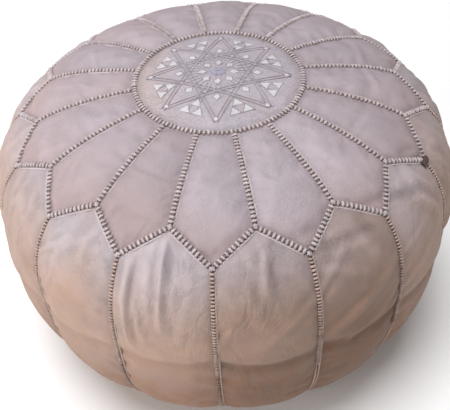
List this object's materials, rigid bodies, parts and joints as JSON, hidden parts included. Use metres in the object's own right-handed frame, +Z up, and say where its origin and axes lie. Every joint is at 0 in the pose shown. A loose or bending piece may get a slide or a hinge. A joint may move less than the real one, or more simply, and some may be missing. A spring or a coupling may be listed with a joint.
{
  "type": "leather pouf",
  "caption": "Round stuffed leather pouf with an embroidered medallion, petal-shaped top pieces, laced raised seams, side panels and a zipped base; a low seat or footstool.",
  "frame": {"origin": "on the floor, under the centre of the flat base", "axes": "+Z up through the middle of the medallion, front petal towards -Y, zip along Y under the base"},
  "size_m": [0.5444, 0.5444, 0.3649],
  "materials": {
    "top_leather": "satin",
    "side_leather": "satin",
    "medallion_leather": "satin",
    "white_leather": "satin",
    "lavender_thread": "satin",
    "pale_thread": "satin",
    "dark_thread": "satin",
    "side_seam_leather": "satin",
    "base_leather": "matte",
    "zip_cloth": "matte",
    "zip_resin": "satin",
    "zip_metal": "satin",
    "cotton_filling": "matte"
  },
  "bodies": {
    "cover": {"top_petal_01": "top_leather", "top_petal_02": "top_leather", "top_petal_03": "top_leather", "top_petal_04": "top_leather", "top_petal_05": "top_leather", "top_petal_06": "top_leather", "top_petal_07": "top_leather", "top_petal_08": "top_leather", "top_petal_09": "top_leather", "top_petal_10": "top_leather", "top_petal_11": "top_leather", "top_petal_12": "top_leather", "top_petal_13": "top_leather", "top_petal_14": "top_leather", "top_petal_15": "top_leather", "top_petal_16": "top_leather", "side_panel_01": "side_leather", "side_panel_02": "side_leather", "side_panel_03": "side_leather", "side_panel_04": "side_leather", "side_panel_05": "side_leather", "side_panel_06": "side_leather", "side_panel_07": "side_leather", "side_panel_08": "side_leather", "side_panel_09": "side_leather", "side_panel_10": "side_leather", "side_panel_11": "side_leather", "side_panel_12": "side_leather", "side_panel_13": "side_leather", "side_panel_14": "side_leather", "side_panel_15": "side_leather", "side_panel_16": "side_leather", "medallion_disc": "medallion_leather", "medallion_inlays": "white_leather", "medallion_embroidery": "lavender_thread", "medallion_ring_seam": "pale_thread", "radial_seams": "pale_thread", "zigzag_seams": "pale_thread", "seam_knots": "dark_thread", "side_seams": "side_seam_leather", "base_half_left": "base_leather", "base_half_right": "base_leather", "base_ring_seam": "dark_thread", "zip_tape_left": "zip_cloth", "zip_tape_right": "zip_cloth", "zip_teeth_left": "zip_resin", "zip_teeth_right": "zip_resin", "zip_top_stops": "zip_metal", "zip_bottom_stop": "zip_metal", "stuffing": "cotton_filling"},
    "zip_slider": {"zip_slider": "zip_metal"},
    "zip_pull": {"zip_pull": "zip_metal"}
  },
  "joints": [
    {"name": "zip_slide", "type": "slide", "parent": "cover", "child": "zip_slider", "axis": [0, -1, 0], "range_m": [0, 0.174]},
    {"name": "pull_swing", "type": "hinge", "parent": "zip_slider", "child": "zip_pull", "pos_m": [0, 0.087, 0.00255], "axis": [1, 0, 0], "range_deg": [0, 180]}
  ]
}
